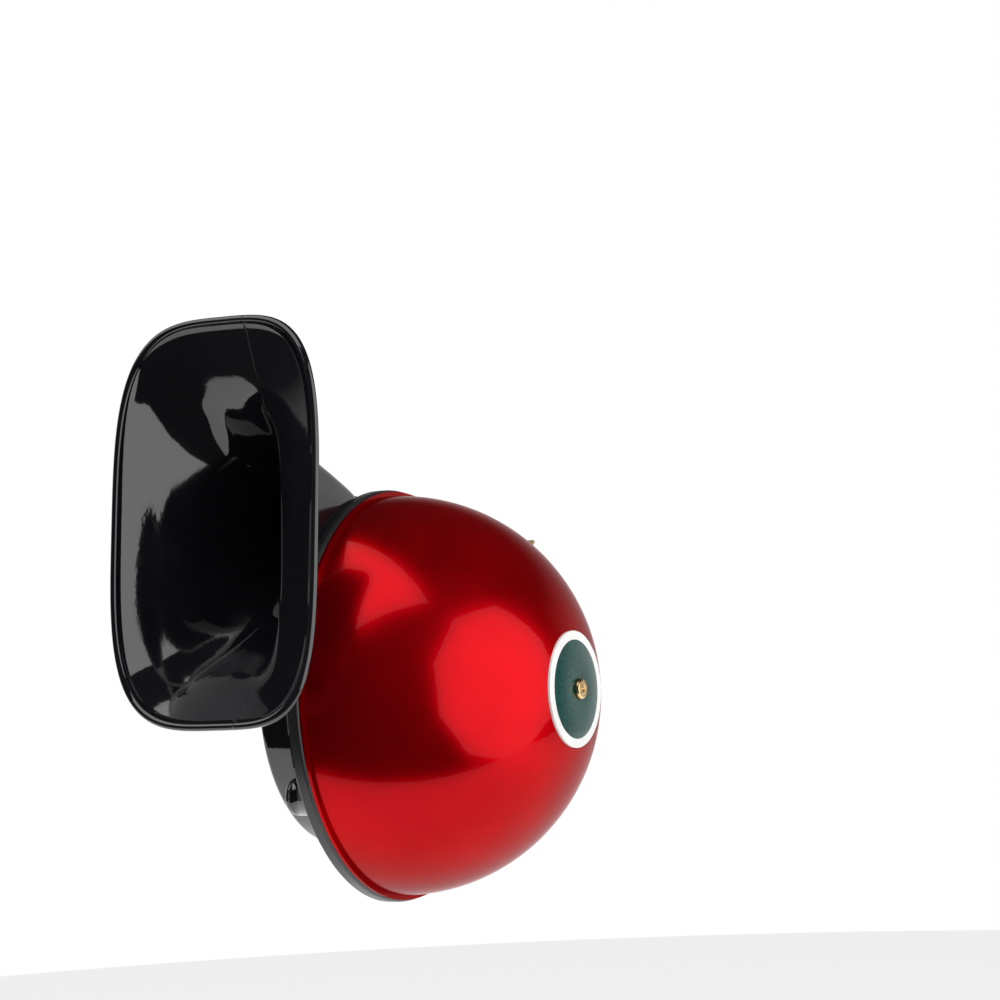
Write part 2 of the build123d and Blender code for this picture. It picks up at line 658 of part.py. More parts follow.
with BuildPart() as contact_rivets:
    add(pins(RIVET_R, RIVET_PLACES, -CAN_STEP_X - RIVET_HEAD_T, RIVET_HEAD_T - LEAF_UNDER_X))
    add(pins(RIVET_HEAD_R, RIVET_PLACES, -LEAF_UNDER_X, RIVET_HEAD_T - LEAF_UNDER_X))
    add(pins(RIVET_HEAD_R, RIVET_PLACES, -CAN_STEP_X - RIVET_HEAD_T, -CAN_STEP_X))
save(contact_rivets.part, "contact_rivets")

with BuildPart() as adjusting_screw:
    add(pins(ADJUSTER_R, [ADJUSTER_PLACE], -ADJUSTER_END_X, -PLATE_FACE_X))
    with BuildSketch(DISC.offset(ADJUSTER_END_X)):
        with Locations(ADJUSTER_PLACE):
            Rectangle(SLOT_W, ADJUSTER_R * 3)
    extrude(amount=-SLOT_DEPTH, mode=Mode.SUBTRACT)
save(adjusting_screw.part, "adjusting_screw")
save(
    hexes(
        ADJUSTER_NUT_AF,
        [ADJUSTER_PLACE],
        -CAN_STEP_X - ADJUSTER_NUT_H,
        -CAN_STEP_X,
        ADJUSTER_R + BORE_GAP,
    ),
    "adjusting_nut",
)

# --- terminal block ----------------------------------------------------------------------------
BLADE_PLACES = [
    Location((0, 0, 0), (0, 0, BLOCK_ANGLE)) * Location((BLADE_MID_R, aside, 0))
    for aside in (-BLADE_APART / 2, BLADE_APART / 2)
]


def blades():
    """The two flat terminals, edge on to the can."""
    with BuildPart() as piece:
        with BuildSketch(DISC.offset(BLADE_FROM_X)):
            with Locations(*BLADE_PLACES):
                Rectangle(BLADE_W, BLADE_T)
        extrude(amount=BLADE_TO_X - BLADE_FROM_X)
    return piece.part


with BuildPart() as terminal_block:
    with BuildSketch(DISC.offset(BLOCK_X)):
        with Locations(Location((0, 0, 0), (0, 0, BLOCK_ANGLE))):
            with Locations(((CAN_WALL_IN + BLOCK_END_R) / 2, 0)):
                Rectangle(BLOCK_END_R - CAN_WALL_IN, BLOCK_W)
        fillet(vertices().sort_by_distance((0, 0))[-2:], BLOCK_CORNER_R)
    extrude(amount=BLOCK_H)
    with BuildSketch(DISC.offset(BLOCK_X)):
        with Locations(*on_circle(CAN_WALL_IN - BLOCK_LIP_T, (BLOCK_ANGLE,))):
            Rectangle(BLOCK_LIP_T * 2, BLOCK_LIP_W)
        Circle(CAN_WALL_IN, mode=Mode.INTERSECT)
    extrude(amount=BLOCK_H)
    add(blades(), mode=Mode.SUBTRACT)
save(terminal_block.part, "terminal_block")
save(blades(), "terminal_blades")

# --- dome --------------------------------------------------------------------------------------
DOME_IN_R = DOME_R - DOME_SHEET


def on_arc(radius, x):
    """The point of a dome arc at a distance from the rim plane."""
    return (x, (radius**2 - x**2) ** 0.5)


with BuildPart() as dome_cover:
    with BuildSketch(PROFILE):
        with BuildLine():
            Polyline((0, DOME_IN_R), (0, DOME_LIP_R), (DOME_SHEET, DOME_LIP_R), on_arc(DOME_R, DOME_SHEET))
            ThreePointArc(
                on_arc(DOME_R, DOME_SHEET), on_arc(DOME_R, DOME_R * 0.6), on_arc(DOME_R, DOME_FLAT_X)
            )
            Polyline(
                on_arc(DOME_R, DOME_FLAT_X),
                (DOME_FLAT_X, DOME_HOLE_R),
                (STANDOFF_END, DOME_HOLE_R),
                on_arc(DOME_IN_R, STANDOFF_END),
            )
            ThreePointArc(
                on_arc(DOME_IN_R, STANDOFF_END), on_arc(DOME_IN_R, DOME_R * 0.6), (0, DOME_IN_R)
            )
        make_face()
    revolve(axis=AXIS)
    # the notch that the terminal block comes out of
    with BuildSketch(DISC):
        with Locations(*on_circle(DOME_R, (BLOCK_ANGLE,))):
            Rectangle(DOME_R / 3, BLOCK_W + 2 * NOTCH_GAP)
    extrude(amount=BLOCK_X + BLOCK_H + NOTCH_GAP, mode=Mode.SUBTRACT)
save(dome_cover.part, "dome_cover")

BADGE_FACE_X = DOME_FLAT_X + BADGE_T
with BuildPart() as badge_plate:
    add(tube(DOME_HOLE_R, BADGE_R, -BADGE_FACE_X, -DOME_FLAT_X))
    fillet(badge_plate.faces().group_by(Axis.X)[-1].edges().sort_by(SortBy.LENGTH)[-1], 0.3)
save(badge_plate.part, "badge_plate")

with BuildPart() as badge_field:
    with BuildSketch(PROFILE):
        with BuildLine():
            inner = (BADGE_FACE_X, DOME_SCREW_HEAD_R + 0.2)
            outer = (BADGE_FACE_X, BADGE_FIELD_R)
            top = (BADGE_FACE_X + BADGE_FIELD_T, DOME_SCREW_HEAD_R + 0.2)
            shoulder = (BADGE_FACE_X + BADGE_FIELD_T * 0.7, BADGE_FIELD_R * 0.75)
            Polyline(top, inner, outer)
            ThreePointArc(outer, shoulder, top)
        make_face()
    revolve(axis=AXIS)
save(badge_field.part, "badge_field")

with BuildPart() as dome_screw:
    add(tube(0, DOME_SCREW_HEAD_R, -BADGE_FACE_X - DOME_SCREW_HEAD_T, -BADGE_FACE_X))
    fillet(dome_screw.faces().group_by(Axis.X)[-1].edges(), 0.8)
    add(tube(0, DOME_SCREW_R, -BADGE_FACE_X, -BADGE_FACE_X + DOME_SCREW_L))
    with BuildSketch(DISC.offset(BADGE_FACE_X + DOME_SCREW_HEAD_T)):
        Rectangle(DRIVE_L, DRIVE_W)
        Rectangle(DRIVE_W, DRIVE_L)
    extrude(amount=-DRIVE_DEPTH, mode=Mode.SUBTRACT)
save(dome_screw.part, "dome_screw")

with BuildPart() as dome_standoff:
    add(hexes(STANDOFF_AF, [(0, 0)], -STANDOFF_END, -CAN_BACK_X))
    add(
        tube(0, CORE_STUD_R + BORE_GAP, -CAN_BACK_X - CORE_STUD_L - 0.5, -CAN_BACK_X),
        mode=Mode.SUBTRACT,
    )
    add(
        tube(0, DOME_SCREW_R + BORE_GAP, -STANDOFF_END, -BADGE_FACE_X + DOME_SCREW_L + 0.5),
        mode=Mode.SUBTRACT,
    )
save(dome_standoff.part, "dome_standoff")
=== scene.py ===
import json
import math

import bmesh
import bpy
from mathutils import Matrix, Vector


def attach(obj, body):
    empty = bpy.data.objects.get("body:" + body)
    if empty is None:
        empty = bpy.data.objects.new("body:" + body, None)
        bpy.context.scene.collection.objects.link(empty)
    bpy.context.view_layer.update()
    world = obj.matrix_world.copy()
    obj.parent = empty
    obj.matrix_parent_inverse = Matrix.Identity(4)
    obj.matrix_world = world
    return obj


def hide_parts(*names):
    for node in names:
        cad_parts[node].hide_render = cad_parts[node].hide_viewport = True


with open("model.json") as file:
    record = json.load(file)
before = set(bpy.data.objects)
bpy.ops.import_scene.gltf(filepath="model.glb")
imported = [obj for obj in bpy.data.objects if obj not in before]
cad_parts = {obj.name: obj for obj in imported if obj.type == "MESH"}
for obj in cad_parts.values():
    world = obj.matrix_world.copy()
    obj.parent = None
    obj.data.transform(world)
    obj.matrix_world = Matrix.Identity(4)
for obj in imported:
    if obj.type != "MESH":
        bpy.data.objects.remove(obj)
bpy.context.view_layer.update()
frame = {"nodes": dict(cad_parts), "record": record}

# The snail horn's finish: a black moulded trumpet, a candy-red dome with its badge, a zinc-plated
# bracket. Metres, +Z up, the mouth faces -Y, the dome +X, the spiral -X, the bracket +Y.
MM = 0.001
RIM_X = 8.4  # the rim plane
AXIS_Y = -71.5  # the dome's and spiral's axis, which runs along X at Z 0
DOME_CENTRE = Vector((RIM_X * MM, AXIS_Y * MM, 0.0))

# The bell, in millimetres: heights run from the rim plane along -X, as in the part itself.
# Places along it are Y from the axis: the finer bell begins at CUT_Y and ends at MOUTH_Y.
WALL = 2.0
BED = 2.5
CUT_Y = -9.0
MOUTH_Y = -64.0
NECK_SEAM_H = 7.0
MOUTH_SEAM_H = 10.0
FLANGE_TOP = 4.4
FLANGE_R = 54.3
SEAM_BEAD = 1.0


# --- small tools for node trees ------------------------------------------------------------------
def node(tree, kind, **settings):
    """A node of a kind, with its settings; an underscored name is an input socket's value."""
    made = tree.nodes.new("ShaderNode" + kind)
    for name, value in settings.items():
        if name.startswith("_"):
            made.inputs[name[1:].replace("_", " ")].default_value = value
        else:
            setattr(made, name, value)
    return made


def wire(tree, start, end):
    tree.links.new(start, end)


def noise(tree, vector, scale, detail=2.0, rough=0.5):
    """Soft random clouds at a place; a scale may be a number or a socket."""
    made = node(tree, "TexNoise", _Detail=detail, _Roughness=rough)
    if isinstance(scale, (int, float)):
        made.inputs["Scale"].default_value = scale
    else:
        wire(tree, scale, made.inputs["Scale"])
    wire(tree, vector, made.inputs["Vector"])
    return made.outputs["Fac"]


def spread(tree, value, low, high, to_low=0.0, to_high=1.0):
    """Stretch a value's range to another."""
    made = node(tree, "MapRange", interpolation_type="SMOOTHSTEP")
    for name, limit in (("From Min", low), ("From Max", high), ("To Min", to_low), ("To Max", to_high)):
        if isinstance(limit, (int, float)):
            made.inputs[name].default_value = limit
        else:
            wire(tree, limit, made.inputs[name])
    wire(tree, value, made.inputs["Value"])
    return made.outputs["Result"]


def combine(tree, operation, a, b):
    """Two values put together by a math operation."""
    made = node(tree, "Math", operation=operation)
    for index, side in enumerate((a, b)):
        if isinstance(side, (int, float)):
            made.inputs[index].default_value = side
        else:
            wire(tree, side, made.inputs[index])
    return made.outputs[0]


def blend_colours(tree, mask, a, b):
    """The first colour where the mask is 0, the second where it is 1."""
    made = node(tree, "Mix", data_type="RGBA")
    wire(tree, mask, made.inputs["Factor"])
    for name, side in (("A", a), ("B", b)):
        socket = [s for s in made.inputs if s.name == name and s.type == "RGBA"][0]
        if isinstance(side, (tuple, list)):
            socket.default_value = (*side[:3], 1.0)
        else:
            wire(tree, side, socket)
    return [s for s in made.outputs if s.type == "RGBA"][0]


def effect(name, inputs, outputs):
    """An empty effect group, with number inputs and their usual values."""
    tree = bpy.data.node_groups.new(name, "ShaderNodeTree")
    tree.interface.new_socket("Place", in_out="INPUT", socket_type="NodeSocketVector")
    for label, value in inputs.items():
        made = tree.interface.new_socket(label, in_out="INPUT", socket_type="NodeSocketFloat")
        made.default_value = value
    for label in outputs:
        tree.interface.new_socket(label, in_out="OUTPUT", socket_type="NodeSocketFloat")
    start = tree.nodes.new("NodeGroupInput")
    end = tree.nodes.new("NodeGroupOutput")
    return tree, start.outputs, end.inputs


# --- effects that several finishes share ---------------------------------------------------------
def make_skin_ripple():
    """The small waviness of a moulded or sprayed skin: a long wave and a short one."""
    tree, given, result = effect("skin_ripple", {"Size": 300.0, "Long Share": 0.5}, ["Height"])
    short = noise(tree, given["Place"], given["Size"], 2.0, 0.45)
    slow = combine(tree, "MULTIPLY", given["Size"], 0.22)
    long = noise(tree, given["Place"], slow, 1.0, 0.4)
    long = combine(tree, "MULTIPLY", long, given["Long Share"])
    wire(tree, combine(tree, "ADD", short, long), result["Height"])
    return tree


def make_handling_marks():
    """Hair scratches in two directions, and the cloudy patches that hands leave."""
    tree, given, result = effect("handling_marks", {"Size": 60.0, "Amount": 0.5}, ["Scratches", "Cloud"])
    lines = None
    for turn, stretch in (((0.3, 0.5, 0.9), (1, 26, 4)), ((1.1, 0.2, -0.5), (22, 1, 5))):
        place = node(tree, "Mapping", _Rotation=turn, _Scale=stretch)
        wire(tree, given["Place"], place.inputs["Vector"])
        streak = noise(tree, place.outputs["Vector"], given["Size"], 1.0, 0.6)
        line = spread(tree, streak, 0.71, 0.76)
        lines = line if lines is None else combine(tree, "MAXIMUM", lines, line)
    patches = noise(tree, given["Place"], combine(tree, "MULTIPLY", given["Size"], 0.7), 3.0, 0.6)
    broken = spread(tree, patches, 0.48, 0.62)
    lines = combine(tree, "MULTIPLY", lines, broken)
    wire(tree, combine(tree, "MULTIPLY", lines, given["Amount"]), result["Scratches"])
    wire(tree, patches, result["Cloud"])
    return tree


def make_dust():
    """Sparse specks of dust."""
    tree, given, result = effect("dust_specks", {"Size": 500.0, "Amount": 0.5}, ["Specks"])
    cells = node(tree, "TexVoronoi")
    wire(tree, given["Place"], cells.inputs["Vector"])
    wire(tree, given["Size"], cells.inputs["Scale"])
    dots = spread(tree, cells.outputs["Distance"], 0.10, 0.05)
    picked = node(tree, "SeparateColor")
    wire(tree, cells.outputs["Color"], picked.inputs["Color"])
    few = spread(tree, picked.outputs["Red"], 0.86, 0.9)
    dots = combine(tree, "MULTIPLY", dots, few)
    wire(tree, combine(tree, "MULTIPLY", dots, given["Amount"]), result["Specks"])
    return tree


def make_turned_rings():
    """Fine rings left by turning or polishing about the +X axis through the place's origin."""
    tree, given, result = effect("turned_rings", {"Size": 900.0}, ["Rings"])
    flat = node(tree, "VectorMath", operation="MULTIPLY")
    flat.inputs[1].default_value = (0.0, 1.0, 1.0)
    wire(tree, given["Place"], flat.inputs[0])
    reach = node(tree, "VectorMath", operation="LENGTH")
    wire(tree, flat.outputs["Vector"], reach.inputs[0])
    line = node(tree, "CombineXYZ")
    wire(tree, reach.outputs["Value"], line.inputs["X"])
    wire(tree, noise(tree, line.outputs["Vector"], given["Size"], 3.0, 0.7), result["Rings"])
    return tree


def make_seam_flash():
    """The thin, slightly ragged line of plastic squeezed out where the two moulded halves meet."""
    tree, given, result = effect("seam_flash", {"Half Width": 0.00022}, ["Flash"])
    part = node(tree, "SeparateXYZ")
    wire(tree, given["Place"], part.inputs["Vector"])
    plane = spread(
        tree, part.outputs["Y"], (AXIS_Y + CUT_Y) * MM, (AXIS_Y + MOUTH_Y) * MM,
        (RIM_X - NECK_SEAM_H) * MM, (RIM_X - MOUTH_SEAM_H) * MM,
    )
    plane.node.interpolation_type = "LINEAR"
    wander = noise(tree, given["Place"], 700.0, 3.0, 0.6)
    ragged = spread(tree, wander, 0.3, 0.7, -0.0002, 0.0002)
    off = combine(tree, "SUBTRACT", part.outputs["X"], combine(tree, "ADD", plane, ragged))
    away = node(tree, "Math", operation="ABSOLUTE")
    wire(tree, off, away.inputs[0])
    wire(tree, spread(tree, away.outputs[0], given["Half Width"], 0.0), result["Flash"])
    return tree


RIPPLE = make_skin_ripple()
MARKS = make_handling_marks()
DUST = make_dust()
RINGS = make_turned_rings()
SEAM = make_seam_flash()


def use(tree, group, place, **values):
    """An effect at a place, with some of its numbers set."""
    made = node(tree, "Group")
    made.node_tree = group
    wire(tree, place, made.inputs["Place"])
    for label, value in values.items():
        made.inputs[label.replace("_", " ")].default_value = value
    return made.outputs


def finish_of(
    name,
    light,
    dark,
    rough,
    ripple,
    ripple_depth,
    patch=25.0,
    marks=0.4,
    marks_size=60.0,
    dust=0.3,
    metallic=0.0,
    coat=0.0,
    coat_rough=0.03,
    coat_ior=1.5,
    ior=1.5,
    tint=(1.0, 1.0, 1.0),
    seam=0.0,
    centre=(0.0, 0.0, 0.0),
    rings=0.0,
    rings_size=900.0,
    long_share=0.5,
    speck_colour=(0.35, 0.34, 0.32),
):
    """A surface finish: two close colours in clouds, a roughness range, a rippled skin, hair
    scratches, dust and, where it was turned, rings."""
    made = bpy.data.materials.new(name)
    made.use_nodes = True
    tree = made.node_tree
    shader = tree.nodes["Principled BSDF"]
    shader.inputs["Metallic"].default_value = metallic
    shader.inputs["IOR"].default_value = ior
    shader.inputs["Coat Weight"].default_value = coat
    shader.inputs["Coat Roughness"].default_value = coat_rough
    shader.inputs["Coat IOR"].default_value = coat_ior
    shader.inputs["Specular Tint"].default_value = (*tint, 1.0)
    place = node(tree, "TexCoord").outputs["Object"]
    if any(centre):
        moved = node(tree, "Mapping", _Location=tuple(-c for c in centre))
        wire(tree, place, moved.inputs["Vector"])
        place = moved.outputs["Vector"]
    cloud = spread(tree, noise(tree, place, patch, 4.0, 0.6), 0.3, 0.7)
    colour = blend_colours(tree, cloud, dark, light)
    worn = use(tree, MARKS, place, Size=marks_size, Amount=marks)
    specks = use(tree, DUST, place, Amount=dust)["Specks"]
    colour = blend_colours(tree, specks, colour, speck_colour)
    wire(tree, colour, shader.inputs["Base Color"])
    gloss = spread(tree, worn["Cloud"], 0.3, 0.7, rough[0], rough[1])
    gloss = combine(tree, "ADD", gloss, combine(tree, "MULTIPLY", worn["Scratches"], 0.25))
    gloss = combine(tree, "ADD", gloss, combine(tree, "MULTIPLY", specks, 0.4))
    wire(tree, gloss, shader.inputs["Roughness"])
    height = use(tree, RIPPLE, place, Size=ripple, Long_Share=long_share)["Height"]
    if rings:
        turned = use(tree, RINGS, place, Size=rings_size)["Rings"]
        height = combine(tree, "ADD", height, combine(tree, "MULTIPLY", turned, rings))
    height = combine(tree, "SUBTRACT", height, combine(tree, "MULTIPLY", worn["Scratches"], 0.4))
    bump = node(tree, "Bump", _Strength=1.0, _Distance=ripple_depth)
    wire(tree, height, bump.inputs["Height"])
    normal = bump.outputs["Normal"]
    if seam:
        flash = node(tree, "Bump", _Strength=1.0, _Distance=seam)
        wire(tree, use(tree, SEAM, place)["Flash"], flash.inputs["Height"])
        wire(tree, normal, flash.inputs["Normal"])
        normal = flash.outputs["Normal"]
    wire(tree, normal, shader.inputs["Normal"])
    return made


# --- finishes, one for each slot of the record ---------------------------------------------------
FINISHES = {
    "trumpet_plastic": finish_of(
        "glossy_black_moulding", (0.007, 0.007, 0.009), (0.003, 0.003, 0.004), (0.035, 0.075),
        900.0, 0.000006, marks=0.2, dust=0.2, ior=1.62, long_share=0.9, seam=0.0002,
        speck_colour=(0.08, 0.08, 0.09),
    ),
    "dome_paint": finish_of(
        "candy_red_lacquer", (0.46, 0.0008, 0.005), (0.36, 0.0004, 0.003), (0.21, 0.28),
        900.0, 0.000003, marks=0.0, marks_size=35.0, dust=0.05, metallic=0.76, coat=0.28,
        coat_ior=1.3, ior=1.12, tint=(0.35, 0.03, 0.03), centre=tuple(DOME_CENTRE),
        rings=0.5, rings_size=420.0, long_share=2.0, speck_colour=(0.4, 0.03, 0.03),
    ),
    "can_paint": finish_of(
        "satin_black_enamel", (0.020, 0.020, 0.021), (0.010, 0.010, 0.010), (0.28, 0.42),
        700.0, 0.000012, marks=0.5, dust=0.4,
    ),
    "zinc": finish_of(
        "bright_zinc_plate", (0.66, 0.66, 0.64), (0.50, 0.51, 0.53), (0.22, 0.38),
        260.0, 0.000010, patch=45.0, marks=0.8, marks_size=45.0, dust=0.25, metallic=1.0,
        speck_colour=(0.3, 0.3, 0.28),
    ),
    "badge_ring": finish_of(
        "white_lacquered_disc", (0.86, 0.86, 0.84), (0.74, 0.74, 0.73), (0.18, 0.30),
        1200.0, 0.000006, marks=0.2, dust=0.1, coat=0.5, speck_colour=(0.4, 0.4, 0.38),
    ),
    "badge_enamel": finish_of(
        "dark_teal_enamel", (0.010, 0.075, 0.062), (0.004, 0.032, 0.029), (0.22, 0.34),
        2400.0, 0.000010, patch=1400.0, marks=0.1, dust=0.15, metallic=0.1, coat=0.8,
        coat_rough=0.02, coat_ior=1.25, ior=1.2, speck_colour=(0.1, 0.25, 0.22),
    ),
    "brass": finish_of(
        "turned_brass", (0.76, 0.54, 0.26), (0.52, 0.33, 0.14), (0.24, 0.40),
        900.0, 0.000010, patch=260.0, marks=0.8, dust=0.3, metallic=1.0,
        centre=tuple(DOME_CENTRE), rings=1.0, rings_size=2500.0, speck_colour=(0.15, 0.1, 0.05),
    ),
    "copper_wire": finish_of(
        "enamelled_copper", (0.55, 0.20, 0.09), (0.36, 0.11, 0.05), (0.22, 0.35),
        1200.0, 0.00003, marks=0.2, dust=0.1, metallic=0.9, coat=0.6,
    ),
    "magnet_iron": finish_of(
        "soft_iron", (0.36, 0.35, 0.34), (0.22, 0.21, 0.20), (0.35, 0.55),
        800.0, 0.00002, marks=0.6, metallic=1.0, centre=tuple(DOME_CENTRE), rings=1.0,
    ),
    "spring_steel": finish_of(
        "cold_rolled_steel", (0.56, 0.55, 0.54), (0.42, 0.42, 0.43), (0.28, 0.42),
        500.0, 0.000012, marks=0.7, metallic=1.0,
    ),
    "gasket_card": finish_of(
        "pressed_fibre", (0.17, 0.145, 0.12), (0.10, 0.085, 0.07), (0.75, 0.92),
        1600.0, 0.00004, marks=0.2,
    ),
    "moulding": finish_of(
        "phenolic_moulding", (0.060, 0.045, 0.036), (0.030, 0.022, 0.018), (0.40, 0.58),
        900.0, 0.00002, marks=0.3,
    ),
    "terminal_plastic": finish_of(
        "black_terminal_moulding", (0.016, 0.016, 0.018), (0.008, 0.008, 0.009), (0.22, 0.34),
        600.0, 0.000014, marks=0.3,
    ),
}

for part in frame["record"]["subparts"]:
    piece = frame["nodes"][part["node"]]
    piece.data.materials.clear()
    piece.data.materials.append(FINISHES[part["material_slot"]])


# --- the trumpet's halves, with a finer bell -----------------------------------------------------
# Each row: the place along the bell, its lean in degrees, lower and upper edge, crest, bed, the share
# of the height at which it is widest, and the squareness of its corners, where 2 is an ellipse: the
# upper and the lower one on the spiral side, then the lower and the upper one by the rim.
BELL = [
    (0.0, 0.0, 30.2, 53.0, 21.5, BED, 0.50, 2.3, 2.4, 3.8, 3.8),
    (-9.0, 0.0, 29.4, 54.0, 22.3, BED, 0.50, 2.3, 2.4, 3.8, 3.8),
    (-16.0, 0.0, 27.9, 57.6, 23.6, BED, 0.50, 2.3, 2.5, 3.9, 4.2),
    (-24.0, 0.5, 25.6, 61.4, 25.8, BED, 0.49, 2.4, 2.6, 4.0, 4.4),
    (-33.5, 1.5, 19.7, 66.2, 29.6, BED, 0.48, 2.6, 2.8, 4.2, 4.2),
    (-41.0, 3.0, 13.8, 70.8, 33.8, BED, 0.48, 2.8, 3.0, 4.2, 4.0),
    (-47.5, 4.5, 8.6, 76.2, 37.9, BED, 0.48, 2.9, 3.2, 4.1, 3.8),
    (-52.8, 5.5, 4.6, 82.2, 41.3, BED, 0.48, 3.1, 3.3, 4.1, 3.7),
    (-55.6, 6.0, 2.2, 86.2, 43.2, 0.4, 0.48, 3.2, 3.4, 4.1, 3.6),
    (-58.4, 6.4, -0.2, 90.6, 45.0, -3.6, 0.48, 3.3, 3.4, 4.1, 3.6),
    (-61.2, 6.7, -2.8, 95.8, 46.8, -8.5, 0.48, 3.3, 3.5, 4.1, 3.6),
    (MOUTH_Y, 7.0, -5.7, 101.4, 48.7, -13.5, 0.48, 3.4, 3.5, 4.1, 3.6),
]
OLD_LOWER_EDGE = [
    (0.0, 30.2), (-12.0, 28.8), (-24.0, 25.6), (-35.0, 19.0), (-44.0, 12.9), (-51.0, 7.3),
    (-56.6, 2.8),
]
BELL_CORNERS = 176
LIP_STEPS = 8
LIP_OUT = 1.2
TUCK_BACK = 1.2  # how far the bell's first and last rows reach behind the cut, in the solid's wall
TUCK_IN = 0.3
MOUTH_SCREW = (-41.9, 24.2)
MOUTH_SCREW_CUT = 6.2
BOSS_R = 5.0
BOSS_TOP = 7.2
# how near a corner may lie to the forms that stay
ON_CUT = 0.01
ON_FLANGE = 0.05
ON_FLANGE_EDGE = 0.1
ON_BOSS = 0.2
ON_BEAD = 0.3


def bell_at(y):
    """The bell's sizes at a place between its stations, on smooth curves through them."""
    last = len(BELL) - 1
    k = max(n for n in range(last) if BELL[n][0] >= y)
    gap = BELL[k + 1][0] - BELL[k][0]
    u = (y - BELL[k][0]) / gap

    def slope(n, field):
        a, b = BELL[max(n - 1, 0)], BELL[min(n + 1, last)]
        return (b[field] - a[field]) / (b[0] - a[0]) * gap

    sizes = []
    for field in range(1, len(BELL[0])):
        p, q = BELL[k][field], BELL[k + 1][field]
        m, n = slope(k, field), slope(k + 1, field)
        sizes.append(
            p + u * m + u * u * (3 * (q - p) - 2 * m - n) + u * u * u * (2 * (p - q) + m + n)
        )
    return sizes


def bell_ring(shape, y, inset, beyond=0.0):
    """One closed loop of edges round the bell, drawn in by an inset and moved on beyond its place."""
    lean, low, high, crest, bed, share, *corners = bell_at(y)
    lean = math.radians(lean)
    middle, half = (low + high) / 2, (high - low) / 2 - inset
    spring = bed + (crest - bed) * share
    loop = bmesh.ops.create_circle(shape, segments=BELL_CORNERS, radius=1.0)["verts"]
    for corner in loop:
        turn = math.atan2(corner.co.y, corner.co.x) % math.tau
        squareness = corners[int(turn * 4 / math.tau) % 4]
        c, s = math.cos(turn), math.sin(turn)
        reach = (abs(c) ** squareness + abs(s) ** squareness) ** (-1 / squareness)
        rise = crest - inset - spring if s >= 0 else spring - bed - inset
        across, height = half * c * reach, spring + rise * s * reach
        corner.co = Vector((
            RIM_X - height,
            AXIS_Y + y + across * math.sin(lean) - beyond * math.cos(lean),
            middle + across * math.cos(lean) + beyond * math.sin(lean),
        )) * MM
    return list({edge for corner in loop for edge in corner.link_edges})


def add_bell(shape):
    """The bell from its cut edge to the mouth, round the lip and back along the inside."""
    rows = round(CUT_Y - MOUTH_Y)
    steps = [CUT_Y - n for n in range(rows + 1)]
    rings = [(CUT_Y + TUCK_BACK, TUCK_IN, 0.0)] + [(y, 0.0, 0.0) for y in steps]
    for n in range(1, LIP_STEPS):
        turn = math.pi * n / LIP_STEPS
        rings.append((MOUTH_Y, WALL / 2 * (1 - math.cos(turn)), LIP_OUT * math.sin(turn)))
    rings += [(y, WALL, 0.0) for y in reversed(steps)]
    rings.append((CUT_Y + TUCK_BACK, WALL - TUCK_IN, 0.0))
    before = bell_ring(shape, *rings[0])
    for ring in rings[1:]:
        after = bell_ring(shape, *ring)
        bmesh.ops.bridge_loops(shape, edges=before + after)
        before = after


def lower_edge(y):
    """The plain bell's lower edge at a place along it."""
    for (y0, z0), (y1, z1) in zip(OLD_LOWER_EDGE, OLD_LOWER_EDGE[1:]):
        if y >= y1:
            return z0 + (z1 - z0) * (y0 - y) / (y0 - y1)
    return OLD_LOWER_EDGE[-1][1]


def on_plain_bell(corner):
    """Whether a corner of the solid's mesh lies on the plain bell that the finer one stands for."""
    height = RIM_X - corner.co.x / MM
    y, z = corner.co.y / MM - AXIS_Y, corner.co.z / MM
    if y < -FLANGE_R:
        return True
    if y > CUT_Y + ON_CUT or z < lower_edge(y) - SEAM_BEAD - ON_BEAD:
        return False
    from_screw = math.hypot(y - MOUTH_SCREW[0], z - MOUTH_SCREW[1])
    if from_screw < BOSS_R + ON_BOSS and height > FLANGE_TOP + ON_BOSS:
        return height > BOSS_TOP
    return height > FLANGE_TOP + ON_FLANGE or math.hypot(y, z) > FLANGE_R + ON_FLANGE_EDGE


def whole(shape):
    return shape.verts[:] + shape.edges[:] + shape.faces[:]


def cut(shape, place, normal, clear_outer=False, clear_inner=False):
    """Divide a shape's faces at a plane, and clear what lies on one side of it if asked."""
    bmesh.ops.bisect_plane(
        shape, geom=whole(shape), dist=1e-7, plane_co=place, plane_no=normal,
        clear_outer=clear_outer, clear_inner=clear_inner,
    )


def join(shape, other):
    """Add another shape's faces to a shape, and free the other."""
    passing = bpy.data.meshes.new("passing")
    other.to_mesh(passing)
    other.free()
    shape.from_mesh(passing)
    bpy.data.meshes.remove(passing)


def solid_copy(name):
    """The mesh of a CAD node, its corners joined."""
    shape = bmesh.new()
    shape.from_mesh(frame["nodes"][name].data)
    bmesh.ops.transform(shape, matrix=frame["nodes"][name].matrix_world, verts=shape.verts[:])
    bmesh.ops.remove_doubles(shape, verts=shape.verts[:], dist=1e-6)
    return shape


def finished(shape, name, slot, *stands_for, sharp=35.0):
    """A piece of the horn from a shape, with its slot's finish."""
    bmesh.ops.recalc_face_normals(shape, faces=shape.faces[:])
    mesh = bpy.data.meshes.new(name)
    shape.to_mesh(mesh)
    shape.free()
    mesh.shade_smooth()
    mesh.set_sharp_from_angle(angle=math.radians(sharp))
    mesh.materials.append(FINISHES[slot])
    piece = bpy.data.objects.new(name, mesh)
    bpy.context.scene.collection.objects.link(piece)
    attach(piece, "root")
    if stands_for:
        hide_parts(*stands_for)
    return piece


